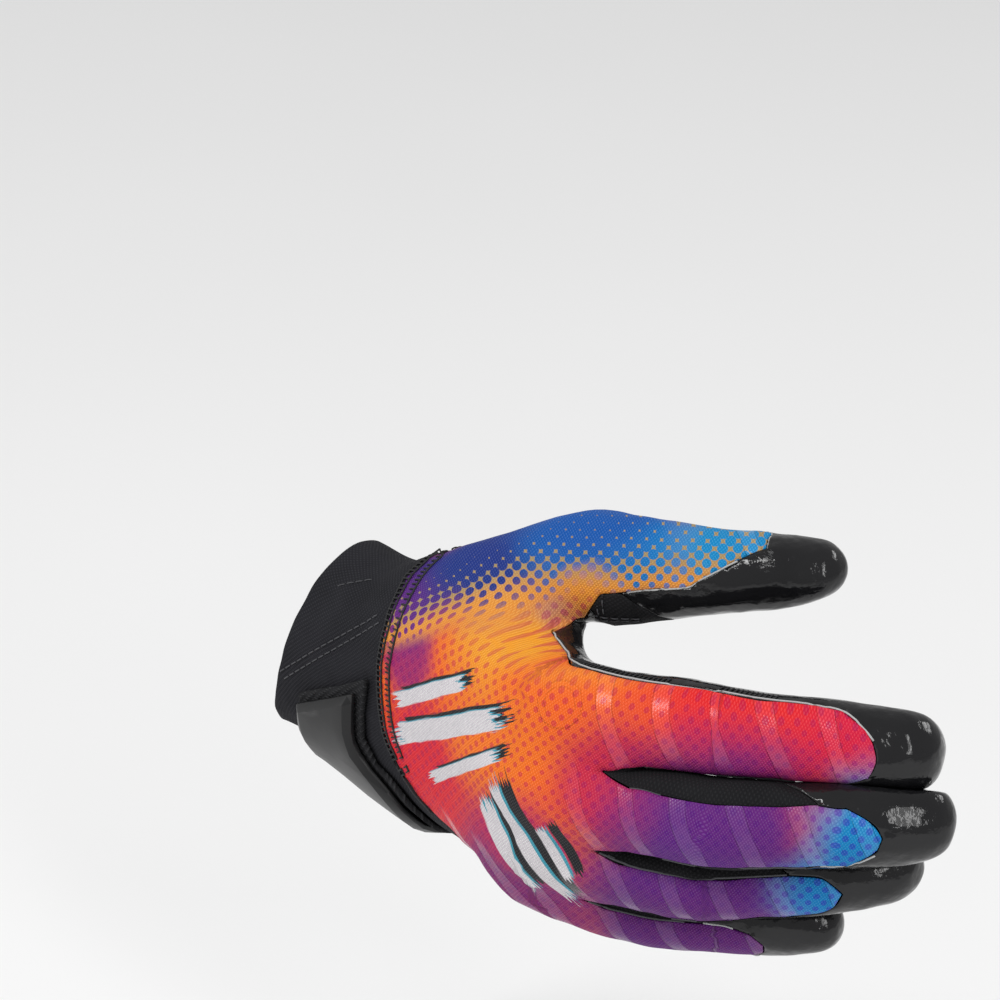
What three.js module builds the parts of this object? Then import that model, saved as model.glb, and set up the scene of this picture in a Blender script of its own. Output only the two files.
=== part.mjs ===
import * as THREE from "three";

// A football receiver glove for the right hand, open as it is worn.
// +X runs to the fingertips, +Y to the palm and +Z to the thumb side.
// The origin is the middle of the open wrist end of the cuff.
// Lengths are millimetres and angles are degrees.

// The hand that the glove is cut for
const HAND_LENGTH = 195;
const HAND_BREADTH = 88;
const WRIST_BREADTH = 62;
const WRIST_DEPTH = 44;

// Walls of the cloth and the clearances between the pieces
const KNIT_WALL = 1.2;
const PALM_WALL = 1.3;
const GUSSET_WALL = 1.0;
const PATCH_WALL = 1.0;
const CUFF_WALL = 2.0;
const SEAM_GAP = 0.35;

// Closure round the wrist
const STRAP_WALL = 1.2;
const STRAP_BORDER = 3.5;
const TAB_WIDTH = 34;
const TAB_THICKNESS = 2.6;
const TAB_RIM = 1.1;
const TAB_BEVEL = 3;
const LAYER_GAP = 0.7;

// Colours of the pieces
const COLOURS = {
  back_panel: [0xd8402c, 0.72],
  palm_panel: [0x101012, 0.28],
  gusset: [0x17171a, 0.85],
  thumb_patch: [0x1a1a1d, 0.8],
  cuff: [0x1b1b1e, 0.9],
  strap: [0x202023, 0.95],
  strap_tab: [0x232326, 0.4],
};

// Names of the points of a ring round a digit, with their angles from its back
const AROUND = [45, 0, -45, -90, -135, 180, 135, 90];

// Fingers: knuckle as per cent of the hand's length (x) and breadth (y, z),
// bones as per cent of its length, widths and depths at the knuckle, the two
// joints and the tip as per cent of its breadth. splay and lean turn the whole
// finger, bend is how far each bone is bent on. The printed back covers the
// finger from radial to ulnar edge; the gussets reach to the palmar edges.
const FINGERS = [
  {
    name: "index",
    knuckle: [47.2, 0.8, 31],
    bones: [23.1, 13.3, 13.4],
    widths: [25.4, 25.4, 24.4, 23.2],
    depths: [27.3, 24.4, 21.6, 19.9],
    splay: 4.3,
    lean: -4,
    bend: [36, 12, 2],
    edges: [75, 58],
    palmar: [0, 112],
  },
  {
    name: "middle",
    knuckle: [47.7, -3.4, 4.2],
    bones: [24.9, 15.6, 14.1],
    widths: [25.6, 24.6, 24, 23],
    depths: [27.3, 24.4, 21.6, 19.9],
    splay: 4.8,
    lean: 2,
    bend: [27, 23.5, 8],
    edges: [46, 50],
    palmar: [112, 112],
  },
  {
    name: "ring",
    knuckle: [43.9, 0.9, -19],
    bones: [23.1, 15, 13.8],
    widths: [24.2, 23.2, 22, 20.8],
    depths: [26.1, 23.3, 20.5, 18.8],
    splay: 0.4,
    lean: 10,
    bend: [27.5, 24, 7],
    edges: [34, 44],
    palmar: [112, 112],
  },
  {
    name: "little",
    knuckle: [39.2, 7, -36.6],
    bones: [18.5, 11.3, 12.3],
    widths: [20.5, 20, 19.5, 18.8],
    depths: [21, 19.5, 18.2, 17],
    splay: -10.7,
    lean: 18,
    bend: [33.7, 11, 5],
    edges: [32, 72],
    palmar: [112, 0],
  },
];
// How far from the fingertip the print ends, where its round end starts, and
// where the gusset beside it starts to narrow and ends, as per cent of the length
const PRINT_END = 8.6;
const PRINT_ROUND = 7.7;
const GUSSET_END = 17.5;
const GUSSET_ROUND = 10;

// Rings along a finger: which bone, share of it, share of the width and depth there
const FINGER_RINGS = [
  [0, 0.74, 1.0, 0.98],
  [1, 0.0, 1.0, 1.0],
  [1, 0.5, 0.97, 0.95],
  [2, 0.0, 1.0, 1.0],
  [2, 0.5, 1.0, 1.0],
  [2, 0.86, 0.82, 0.8],
];
// Share of the first bone that lies in the hand, up to the crotch between fingers
const WEB = 0.44;

// The thumb: root as per cent of length and breadth, bones as per cent of length
const THUMB = {
  root: [10.8, 17, 31],
  bones: [23.6, 17.4, 16.3],
  turn: [23.5, 12, 12.6],
  lift: [23, 36, 43],
  edges: [75, 50],
  palmar: [0, 118],
};
// Rings along the thumb: bone, share, width and depth as per cent of the breadth, roll
const THUMB_RINGS = [
  [0, 0.86, 38, 36, 36],
  [1, 0.12, 34, 32, 42],
  [1, 0.56, 28, 25.5, 46],
  [2, 0.0, 25, 22, 50],
  [2, 0.45, 22.4, 19.6, 52],
  [2, 0.86, 17.2, 15, 52],
];
// Along the thumb, as per cent of the length: the print's end on its back and how
// much sooner it ends per millimetre towards the fingers, and the patch's two ends
const THUMB_PRINT_END = 47;
const THUMB_PRINT_SLANT = 2.4;
const PATCH_START = 24.5;
const PATCH_END = 35;
// How much further round the thumb the print reaches before the patch, in per cent of
// the breadth, and the stretch over which it does so
const PRINT_TONGUE = 11;
const TONGUE_STRETCH = [16, 20.5];

// Sections of the cuff and the hand: middle as per cent of length (x) and breadth
// (y, z), half breadth as per cent of the wrist's or hand's breadth, depth to the
// back and to the palm as per cent of the wrist's depth or the hand's breadth,
// turn to the thumb, tilt, squareness, and how far the outer edge curls to the palm
// as per cent of the hand's breadth
const SECTIONS = [
  { at: [-6.4, -3.5, 6.5], half: 47, back: 45, palm: 50, turn: -16, tilt: 20, square: 2.1, arch: 0, wrist: true },
  { at: [-1.5, -1, 5.6], half: 46.5, back: 45, palm: 49, turn: -14, tilt: 18, square: 2.1, arch: 1, wrist: true },
  { at: [4, 1.5, 5.2], half: 47.5, back: 44, palm: 50, turn: -10, tilt: 12, square: 2.2, arch: 3, wrist: true },
  { at: [10, 3, 5], half: 40.4, back: 21, palm: 25, turn: -5, tilt: 5, square: 2.3, arch: 6 },
  { at: [21, 2.5, 4.8], half: 40.6, back: 19.5, palm: 24, turn: 0, tilt: 0, square: 2.4, arch: 8 },
  { at: [35.5, 1, 4.4], half: 40, back: 18, palm: 20, turn: 2, tilt: 0, square: 2.6, arch: 8 },
];
// The thumb grows from the radial side between these sections
const THUMB_FROM = 3;
const THUMB_TO = 5;
// Bottom of the web between thumb and index, as per cent of length and breadth
const THUMB_WEB = [44.8, 18.5, 38];
// How much deeper the palm is beside it and how far its edge moves in, and how close
// to the middle of the hand the thumb's first ring comes, as per cent of the breadth
const WEB_PALM = 3;
const WEB_EDGE = 5;
const ROOT_SIDE = 38;
// How far a section's outermost points lie, as a share of its half breadth
const SECTION_EDGE = 0.86;
// Depth of the knuckle row, as per cent of the breadth
const KNUCKLES = { back: 15.9, valley: 13.6, rim: 9.7, palm: 18.8, palmRim: 18 };

// Where the cuff ends on the hand, as per cent of the length from the wrist, over
// the twenty points round it from the thumb's edge of the back on to the palm
const SEAM_LINE = [14, 14.5, 15, 15.5, 16.5, 18.5, 21.5, 26, 37, 41, 34, 25, 18, 14, 12, 11, 10, 10.5, 12, 13];
// How far inside the printed back each of those points lies, as per cent of breadth
const PRINT_INSIDE = [12, 22, 30, 35, 35, 35, 30, 20, 10, 0, -10, -20, -30, -35, -35, -30, -25, -15, 1, 9];

// The tab round the wrist: turn from the middle of the back towards the thumb, and
// where its two long edges lie from the wrist end, as per cent of the tab's width
const TAB_ROWS = [
  [8, 35, 100],
  [-25, 35, 99],
  [-40, 32, 110],
  [-48, 30, 134],
  [-60, 30, 150],
  [-90, 34, 156],
  [-128, 38, 150],
];
// Share of its length by which the corner at the wrist's end starts later
const TAB_SLANT = 0.24;
const TAB_STEPS = 19;
// The strap goes on under the palm side to this turn, as wide there as these shares
const STRAP_ROWS = [
  [-150, 40, 140],
  [-180, 42, 130],
  [-205, 42, 124],
];

const radians = (degrees) => (degrees * Math.PI) / 180;
const cosine = (degrees) => Math.cos(radians(degrees));
const sine = (degrees) => Math.sin(radians(degrees));
const along = (percent) => (HAND_LENGTH * percent) / 100;
const across = (percent) => (HAND_BREADTH * percent) / 100;
const vector = (x, y, z) => new THREE.Vector3(x, y, z);
const place = ([x, y, z]) => vector(along(x), across(y), across(z));
const mixed = (values, index, share) => values[index] * (1 - share) + values[index + 1] * share;

// The control cage: points hold x, y, z and the values that the seams follow
const cage = { points: [], faces: [] };

// A point of the cage. back is how far it lies inside the printed back, palm how
// far inside the palm, past how far beyond the cuff's seam, run how far along
// the digit, side how far to its radial side.
function addPoint(p, { back = 0, palm = 0, past = 60, run = 0, side = 0 }) {
  cage.points.push([p.x, p.y, p.z, back, palm, past, run, side]);
  return cage.points.length - 1;
}

// digit is 0 to 3 for a finger, 4 for the thumb and -1 for the hand.
// gap is the space beside the finger: 0 to 2 between fingers, 3 in the thumb's crotch.
function addFace(corners, digit, gap) {
  cage.faces.push({ corners, digit, gap });
}

function join(from, to, digit, gaps) {
  for (let i = 0; i < from.length; i += 1) {
    const j = (i + 1) % from.length;
    addFace([from[i], from[j], to[j], to[i]], digit, gaps(i));
  }
}

// Which gap the ith side of a ring round a digit faces
function gapBeside(digit) {
  return (i) => {
    const ulnar = i >= 1 && i <= 4;
    if (digit === 4) {
      return ulnar ? 3 : -1;
    }
    const gap = ulnar ? digit : digit - 1;
    return gap <= 2 ? gap : -1;
  };
}

// Seam values of a point at an angle round a digit of the given mean radius
function seamValues(angle, radius, edges, palmar) {
  const turn = Math.abs(angle);
  const arc = radians(1) * radius;
  const ulnar = angle < 0;
  const middle = angle === 0 || angle === 180;
  const edge = middle ? (edges[0] + edges[1]) / 2 : edges[ulnar ? 1 : 0];
  const back = arc * (edge - turn);
  const outer = palmar[ulnar ? 1 : 0] === 0;
  const limit = middle ? Math.max(palmar[0], palmar[1]) : palmar[ulnar ? 1 : 0];
  const palm = outer && !middle ? -back : arc * (turn - limit);
  return { back, palm, side: radius * sine(angle) };
}

function addRing({ centre, lateral, dorsal, width, depth, run, edges, palmar }) {
  const radius = (width + depth) / 4;
  return AROUND.map((angle) => {
    const p = centre
      .clone()
      .addScaledVector(lateral, ((width * 1.1) / 2) * sine(angle))
      .addScaledVector(dorsal, ((depth * 1.1) / 2) * cosine(angle));
    return addPoint(p, { ...seamValues(angle, radius, edges, palmar), run });
  });
}

// Closes a fingertip with four faces round its last point
function addTip(ring, tip, digit, run) {
  const middle = addPoint(tip, { back: -20, palm: 6, run, side: 0 });
  const gaps = gapBeside(digit);
  for (let i = 1; i < 8; i += 2) {
    const corners = [ring[i], ring[(i + 1) % 8], ring[(i + 2) % 8], middle];
    addFace(corners, digit, gaps(i));
  }
}

// Bones of a finger: start, direction, the side to the thumb and the way to its back
function bonesOf(finger) {
  const ahead = vector(cosine(finger.splay), 0, sine(finger.splay));
  const palmward = vector(0, cosine(finger.lean), sine(finger.lean));
  palmward.addScaledVector(ahead, -palmward.dot(ahead)).normalize();
  const lateral = ahead.clone().cross(palmward);
  const start = place(finger.knuckle);
  let bend = 0;
  return finger.bones.map((share, i) => {
    bend += finger.bend[i];
    const direction = ahead.clone().multiplyScalar(cosine(bend));
    direction.addScaledVector(palmward, sine(bend));
    const dorsal = ahead.clone().multiplyScalar(sine(bend));
    dorsal.addScaledVector(palmward, -cosine(bend));
    const bone = { start: start.clone(), direction, lateral, dorsal, length: along(share) };
    start.addScaledVector(direction, bone.length);
    return bone;
  });
}

const bones = FINGERS.map(bonesOf);

// The twenty points of a section of the cuff or the hand
function addSection(section) {
  const breadth = section.wrist ? WRIST_BREADTH : HAND_BREADTH;
  const depth = section.wrist ? WRIST_DEPTH : HAND_BREADTH;
  const half = (breadth * section.half) / 100;
  const towards = vector(
    cosine(section.tilt) * cosine(section.turn),
    sine(section.tilt) * cosine(section.turn),
    sine(section.turn),
  );
  const lateral = vector(0, 0, 1).addScaledVector(towards, -towards.z).normalize();
  const dorsal = towards.clone().cross(lateral);
  const centre = place(section.at);
  const put = (q, index) => {
    const toBack = index <= 8;
    const height = Math.abs(q) < 1 ? (1 - Math.abs(q) ** section.square) ** (1 / section.square) : 0;
    const reach = (depth * (toBack ? section.back : -section.palm)) / 100;
    const p = centre
      .clone()
      .addScaledVector(lateral, q * half * 1.03)
      .addScaledVector(dorsal, height * reach * 1.03);
    p.y += across(section.arch) * Math.min(0, q) ** 2;
    const past = along(section.at[0] - SEAM_LINE[index]);
    const inside = across(PRINT_INSIDE[index]);
    return addPoint(p, { back: inside, palm: -inside, past, run: index >= 18 || index === 0 ? 24 : 0 });
  };
  const points = [];
  for (let j = 0; j <= 8; j += 1) {
    points.push(put(SECTION_EDGE * (1 - j / 4), j));
  }
  points.push(put(-1, 9));
  for (let j = 8; j >= 0; j -= 1) {
    points.push(put(SECTION_EDGE * (1 - j / 4), 18 - j));
  }
  points.push(put(1, 19));
  if (section === SECTIONS[THUMB_TO]) {
    const web = place(THUMB_WEB);
    cage.points[points[19]].splice(0, 3, web.x, web.y, web.z);
    cage.points[points[18]][1] += across(WEB_PALM);
    cage.points[points[18]][2] -= across(WEB_EDGE);
  }
  return points;
}

// The twenty points over the knuckles
function addKnuckles() {
  const knuckles = FINGERS.map((finger) => place(finger.knuckle));
  const halves = FINGERS.map((finger) => across(finger.widths[0]) / 2);
  const rows = [];
  for (let j = 0; j <= 8; j += 1) {
    const k = Math.floor(j / 2);
    const onKnuckle = j % 2 === 1;
    const first = j === 0;
    const rim = first || j === 8;
    let centre = onKnuckle ? knuckles[k].clone() : null;
    if (rim) {
      centre = knuckles[first ? 0 : 3].clone();
      centre.z += (first ? 0.72 : -0.25) * halves[first ? 0 : 3];
    }
    centre = centre ?? knuckles[k - 1].clone().add(knuckles[k]).multiplyScalar(0.5);
    rows.push({ centre, onKnuckle, rim, j });
  }
  const put = (row, toBack) => {
    const share = toBack
      ? row.onKnuckle ? KNUCKLES.back : row.rim ? KNUCKLES.rim : KNUCKLES.valley
      : row.rim ? KNUCKLES.palmRim : KNUCKLES.palm;
    const p = row.centre.clone();
    p.y += (toBack ? -1 : 1) * across(share);
    p.z -= !toBack && row.j === 0 ? halves[0] * 0.35 : 0;
    const back = toBack ? [5, 13, 7, 13, 7, 13, 7, 13, 5][row.j] : -14;
    const palm = toBack ? -14 : [5, 13, 9, 13, 9, 13, 9, 13, 5][row.j];
    const past = along(FINGERS[0].knuckle[0] - SEAM_LINE[toBack ? row.j : 18 - row.j]);
    return addPoint(p, { back, palm, past });
  };
  const points = rows.map((row) => put(row, true));
  const little = knuckles[3].clone();
  little.z -= halves[3] * 0.45;
  little.y += across(2);
  points.push(addPoint(little, { back: 0, palm: 0, past: along(FINGERS[0].knuckle[0] - SEAM_LINE[9]) }));
  points.push(...rows.slice().reverse().map((row) => put(row, false)));
  const index = knuckles[0].clone();
  index.z += halves[0] * 1.12;
  index.y += across(3);
  points.push(addPoint(index, { back: -2, palm: 2 }));
  return points;
}

// The points round the roots of the four fingers, and the middles of the five
// spaces beside and between them
function addRoots() {
  const roots = FINGERS.map((finger, n) => {
    const bone = bones[n][0];
    return {
      centre: bone.start.clone().addScaledVector(bone.direction, bone.length * WEB),
      lateral: bone.lateral,
      dorsal: bone.dorsal,
      direction: bone.direction,
      wide: (across(mixed(finger.widths, 0, WEB)) / 2) * 1.04,
      deep: (across(mixed(finger.depths, 0, WEB)) / 2) * 1.08,
      run: bone.length * WEB,
      finger,
    };
  });
  const around = (n, angle) => {
    const root = roots[n];
    const p = root.centre
      .clone()
      .addScaledVector(root.lateral, root.wide * sine(angle))
      .addScaledVector(root.dorsal, root.deep * cosine(angle));
    const values = seamValues(angle, root.wide, root.finger.edges, root.finger.palmar);
    return addPoint(p, { ...values, run: root.run });
  };
  const between = (n, height, shift, values) => {
    const a = roots[n - 1];
    const b = roots[n];
    const p = a.centre.clone().addScaledVector(a.lateral, -a.wide);
    p.add(b.centre).addScaledVector(b.lateral, b.wide).multiplyScalar(0.5);
    const dorsal = a.dorsal.clone().add(b.dorsal).normalize();
    const direction = a.direction.clone().add(b.direction).normalize();
    p.addScaledVector(dorsal, (height * (a.deep + b.deep)) / 2);
    p.addScaledVector(direction, shift);
    return addPoint(p, { ...values, run: (a.run + b.run) / 2 });
  };
  const back = [];
  const palm = [];
  const middles = [];
  for (let j = 0; j <= 8; j += 1) {
    const n = Math.floor(j / 2);
    if (j % 2 === 1) {
      back.push(around(n, 0));
      palm.push(around(n, 180));
    } else if (j === 0) {
      back.push(around(0, 45));
      palm.push(around(0, 135));
      middles.push(around(0, 90));
    } else if (j === 8) {
      back.push(around(3, -45));
      palm.push(around(3, -135));
      middles.push(around(3, -90));
    } else {
      back.push(between(n, 0.62, -5, { back: n === 1 ? -2.2 : -0.6, palm: -12 }));
      palm.push(between(n, -0.64, 0, { back: -14, palm: -4 }));
      middles.push(between(n, 0, 1, { back: -9, palm: -7 }));
    }
  }
  return { loop: [...back, middles[4], ...palm.reverse(), middles[0]], middles };
}

// Which gap lies beside the ith face between the knuckles and the roots
function gapOfColumn(i) {
  const column = i <= 8 ? i : 18 - i - 1;
  if (i === 8 || i === 9 || i >= 18 || column < 1 || column > 6) {
    return -1;
  }
  return Math.floor((column - 1) / 2);
}

const sections = SECTIONS.map(addSection);
sections.push(addKnuckles());
const roots = addRoots();
sections.push(roots.loop);
for (let i = 0; i + 1 < sections.length; i += 1) {
  const from = sections[i];
  const to = sections[i + 1];
  for (let j = 0; j < 20; j += 1) {
    const k = (j + 1) % 20;
    const inThumb = j >= 18 && i >= THUMB_FROM && i < THUMB_TO;
    if (!inThumb) {
      addFace([from[j], from[k], to[k], to[j]], -1, i >= sections.length - 3 ? gapOfColumn(j) : -1);
    }
  }
}

const RUN_ENDS = [];
FINGERS.forEach((finger, n) => {
  const at = (k) => roots.loop[k];
  let ring = [
    at(2 * n),
    at(2 * n + 1),
    at(2 * n + 2),
    roots.middles[n + 1],
    at(16 - 2 * n),
    at(17 - 2 * n),
    at(18 - 2 * n),
    roots.middles[n],
  ];
  const starts = [0, bones[n][0].length, bones[n][0].length + bones[n][1].length];
  for (const [b, share, wide, deep] of FINGER_RINGS) {
    const bone = bones[n][b];
    const dorsal = bone.dorsal.clone();
    if (share === 0) {
      dorsal.add(bones[n][b - 1].dorsal).normalize();
    }
    const next = addRing({
      centre: bone.start.clone().addScaledVector(bone.direction, bone.length * share),
      lateral: bone.lateral,
      dorsal,
      width: across(mixed(finger.widths, b, share)) * wide,
      depth: across(mixed(finger.depths, b, share)) * deep,
      run: starts[b] + bone.length * share,
      edges: finger.edges,
      palmar: finger.palmar,
    });
    join(ring, next, n, gapBeside(n));
    ring = next;
  }
  const last = bones[n][2];
  const total = starts[2] + last.length;
  const tip = last.start.clone().addScaledVector(last.direction, last.length + 1.2);
  tip.addScaledVector(last.dorsal, -1);
  addTip(ring, tip, n, total);
  RUN_ENDS.push(total);
});

// The thumb, from the ring left open in the radial side
function addThumb() {
  const row = (i, j) => sections[i][j];
  const middle = (THUMB_FROM + THUMB_TO) / 2;
  let ring = [
    row(THUMB_FROM, 0),
    row(middle, 0),
    row(THUMB_TO, 0),
    row(THUMB_TO, 19),
    row(THUMB_TO, 18),
    row(middle, 18),
    row(THUMB_FROM, 18),
    row(THUMB_FROM, 19),
  ];
  // The seams of the print and of the patch in the crotch start on this ring
  const insides = [14, 16, 12, -2, -8, -8, 1, 8];
  const palms = [-14, -16, -14, -6, 4, 10, -1, -8];
  ring.forEach((index, i) => {
    cage.points[index][3] = insides[i];
    cage.points[index][4] = palms[i];
  });
  const start = place(THUMB.root);
  const parts = THUMB.bones.map((share, i) => {
    const direction = vector(
      cosine(THUMB.lift[i]) * cosine(THUMB.turn[i]),
      sine(THUMB.lift[i]),
      cosine(THUMB.lift[i]) * sine(THUMB.turn[i]),
    );
    const bone = { start: start.clone(), direction, length: along(share) };
    start.addScaledVector(direction, bone.length);
    return bone;
  });
  const starts = [0, parts[0].length, parts[0].length + parts[1].length];
  let dorsal = null;
  for (const [b, share, wide, deep, roll] of THUMB_RINGS) {
    const bone = parts[b];
    const direction = bone.direction.clone();
    if (share === 0) {
      direction.add(parts[b - 1].direction).normalize();
    }
    const outward = direction.clone().cross(vector(0, 1, 0)).normalize();
    const level = outward.clone().cross(direction).negate().normalize();
    if (level.y > 0) {
      level.negate();
    }
    dorsal = level.multiplyScalar(cosine(roll)).addScaledVector(outward, sine(roll));
    const lateral = direction.clone().cross(dorsal.clone().negate());
    const next = addRing({
      centre: bone.start.clone().addScaledVector(bone.direction, bone.length * share),
      lateral,
      dorsal,
      width: across(wide),
      depth: across(deep),
      run: starts[b] + bone.length * share,
      edges: THUMB.edges,
      palmar: THUMB.palmar,
    });
    if (b === 0) {
      next.forEach((i) => {
        const p = cage.points[i];
        p[2] = Math.max(p[2], across(ROOT_SIDE));
      });
    }
    join(ring, next, 4, gapBeside(4));
    ring = next;
  }
  const last = parts[2];
  const total = starts[2] + last.length;
  const tip = last.start.clone().addScaledVector(last.direction, last.length + 1.5);
  tip.addScaledVector(dorsal, -1);
  addTip(ring, tip, 4, total);
  RUN_ENDS.push(total);
}
addThumb();

// One smoothing step: each quad becomes four, with the points drawn to the mean
// of their neighbours; the open edge stays a curve.
function smooth({ points, faces }) {
  const size = points[0].length;
  const sum = (lists) => lists[0].map((_, i) => lists.reduce((total, list) => total + list[i], 0));
  const mean = (lists) => sum(lists).map((value) => value / lists.length);
  const edges = new Map();
  const facePoints = faces.map((face) => mean(face.corners.map((i) => points[i])));
  faces.forEach((face, f) => {
    face.corners.forEach((a, i) => {
      const b = face.corners[(i + 1) % 4];
      const key = a < b ? `${a}_${b}` : `${b}_${a}`;
      if (!edges.has(key)) {
        edges.set(key, { a, b, beside: [] });
      }
      edges.get(key).beside.push(f);
    });
  });
  const next = points.map(() => null);
  const around = points.map(() => ({ faces: [], middles: [], rim: [] }));
  facePoints.forEach((p) => next.push(p));
  for (const edge of edges.values()) {
    const middle = mean([points[edge.a], points[edge.b]]);
    const open = edge.beside.length === 1;
    edge.index = next.length;
    next.push(open ? middle : mean([points[edge.a], points[edge.b], ...edge.beside.map((f) => facePoints[f])]));
    for (const i of [edge.a, edge.b]) {
      around[i].middles.push(middle);
      if (open) {
        around[i].rim.push(middle);
      }
    }
  }
  faces.forEach((face, f) => face.corners.forEach((i) => around[i].faces.push(facePoints[f])));
  points.forEach((p, i) => {
    const { faces: near, middles, rim } = around[i];
    if (!near.length) {
      next[i] = p;
      return;
    }
    if (rim.length) {
      next[i] = p.map((value, c) => (rim[0][c] + rim[1][c] + 2 * value) / 4);
      return;
    }
    const n = near.length;
    const f = mean(near);
    const e = mean(middles);
    next[i] = p.map((value, c) => (f[c] + 2 * e[c] + (n - 3) * value) / n);
  });
  const quads = [];
  faces.forEach((face, f) => {
    const indexOf = (a, b) => edges.get(a < b ? `${a}_${b}` : `${b}_${a}`).index;
    face.corners.forEach((a, i) => {
      const b = face.corners[(i + 1) % 4];
      const z = face.corners[(i + 3) % 4];
      const corners = [a, indexOf(a, b), points.length + f, indexOf(z, a)];
      quads.push({ corners, digit: face.digit, gap: face.gap });
    });
  });
  return { points: next.map((p) => p.slice(0, size)), faces: quads };
}

// The surface as triangles that face out, with a normal added to each point
function triangulate({ points, faces }) {
  const triangles = [];
  for (const { corners, digit, gap } of faces) {
    const [a, b, c, d] = corners;
    const length = (i, j) => Math.hypot(...[0, 1, 2].map((k) => points[i][k] - points[j][k]));
    const split = length(a, c) <= length(b, d) ? [[a, b, c], [a, c, d]] : [[a, b, d], [b, c, d]];
    split.forEach((ids) => triangles.push({ ids, digit, gap }));
  }
  const normals = points.map(() => vector(0, 0, 0));
  for (const { ids } of triangles) {
    const [a, b, c] = ids.map((i) => vector(...points[i]));
    const normal = b.clone().sub(a).cross(c.clone().sub(a));
    ids.forEach((i) => normals[i].add(normal));
  }
  const full = points.map((p, i) => [...p, ...normals[i].normalize().toArray()]);
  return { points: full, triangles };
}

const surface = triangulate(smooth(cage));

// Fields of the seams on the surface. Each is positive inside its piece.
const [BACK, PALM, PAST, RUN, SIDE, NORMAL] = [3, 4, 5, 6, 7, 8];

function printField(p, { digit }) {
  if (digit === 4) {
    const end = along(THUMB_PRINT_END) + THUMB_PRINT_SLANT * Math.min(0, p[SIDE]);
    const [from, to] = TONGUE_STRETCH.map(along);
    const widening = Math.min(1, Math.max(0, (p[RUN] - from) / (to - from)));
    const tongue = Math.min(p[BACK] + across(PRINT_TONGUE) * widening, along(PATCH_START) - p[RUN]);
    return Math.max(Math.min(p[BACK], (end - p[RUN]) * 0.7), tongue);
  }
  if (digit < 0) {
    return p[BACK];
  }
  const end = RUN_ENDS[digit] - along(PRINT_END);
  const over = Math.max(0, (p[RUN] - end + along(PRINT_ROUND)) / along(PRINT_ROUND));
  return p[BACK] - across(11) * over * over;
}

function palmField(p, { digit, gap }) {
  if (gap === 3) {
    const past = p[RUN] - along(PATCH_END) - p[PALM] * 0.8;
    return Math.max(p[PALM], along(PATCH_START) - p[RUN], past * 0.8);
  }
  if (digit < 0) {
    return p[PALM];
  }
  const end = RUN_ENDS[digit] - along(GUSSET_END);
  const over = Math.max(0, (p[RUN] - end + along(GUSSET_ROUND)) / along(GUSSET_ROUND));
  return Math.max(p[PALM], -12) + 12 * over * over;
}

// Keeps the part of the triangles where the field is at least the margin
function clip({ points, triangles }, field, margin) {
  const out = points.slice();
  const cut = new Map();
  const kept = [];
  for (const { ids, digit, gap } of triangles) {
    const face = { digit, gap };
    const values = ids.map((i) => {
      const value = field(out[i], face) - margin;
      return Math.abs(value) < 0.03 ? 0 : value;
    });
    if (values.every((value) => value <= 0)) {
      continue;
    }
    if (values.every((value) => value >= 0)) {
      kept.push({ ids, digit, gap });
      continue;
    }
    const polygon = [];
    for (let i = 0; i < 3; i += 1) {
      const j = (i + 1) % 3;
      const [a, b] = [ids[i], ids[j]];
      if (values[i] >= 0) {
        polygon.push(a);
      }
      if (values[i] * values[j] < 0) {
        const key = a < b ? `${a}_${b}` : `${b}_${a}`;
        if (!cut.has(key)) {
          const [low, high, v, w] = a < b ? [a, b, values[i], values[j]] : [b, a, values[j], values[i]];
          const t = v / (v - w);
          out.push(out[low].map((value, k) => value + (out[high][k] - value) * t));
          cut.set(key, out.length - 1);
        }
        polygon.push(cut.get(key));
      }
    }
    for (let i = 1; i + 1 < polygon.length; i += 1) {
      kept.push({ ids: [polygon[0], polygon[i], polygon[i + 1]], digit, gap });
    }
  }
  return { points: out, triangles: kept };
}

const choose = (mesh, test) => ({ points: mesh.points, triangles: mesh.triangles.filter(test) });

// Gives a sheet of triangles its wall, on the inner side, and closes its rims
function thicken({ points, triangles }, wall, lift = 0) {
  const used = new Map();
  const positions = [];
  for (const { ids } of triangles) {
    for (const i of ids) {
      if (!used.has(i)) {
        used.set(i, used.size);
        positions.push(i);
      }
    }
  }
  const count = positions.length;
  const layer = (offset) => positions.flatMap((i) => {
    const p = points[i];
    return [0, 1, 2].map((k) => p[k] + p[NORMAL + k] * offset);
  });
  const coordinates = [...layer(lift + (lift ? wall : 0)), ...layer(lift ? lift : -wall)];
  const index = [];
  const rims = new Map();
  for (const { ids } of triangles) {
    const [a, b, c] = ids.map((i) => used.get(i));
    index.push(a, b, c, a + count, c + count, b + count);
    for (const [i, j] of [[a, b], [b, c], [c, a]]) {
      rims.has(`${j}_${i}`) ? rims.delete(`${j}_${i}`) : rims.set(`${i}_${j}`, [i, j]);
    }
  }
  for (const [i, j] of rims.values()) {
    index.push(j, i, i + count, j, i + count, j + count);
  }
  const geometry = new THREE.BufferGeometry();
  geometry.setAttribute("position", new THREE.Float32BufferAttribute(coordinates, 3));
  geometry.setIndex(index);
  return geometry;
}

// Frame of the wrist: start, way to the hand, way to the back, way to the thumb
const wrist = (() => {
  const start = place(SECTIONS[0].at);
  const forward = place(SECTIONS[2].at).sub(start).normalize();
  const lateral = vector(0, 0, 1).addScaledVector(forward, -forward.z).normalize();
  return { start, forward, lateral, dorsal: forward.clone().cross(lateral) };
})();

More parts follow.
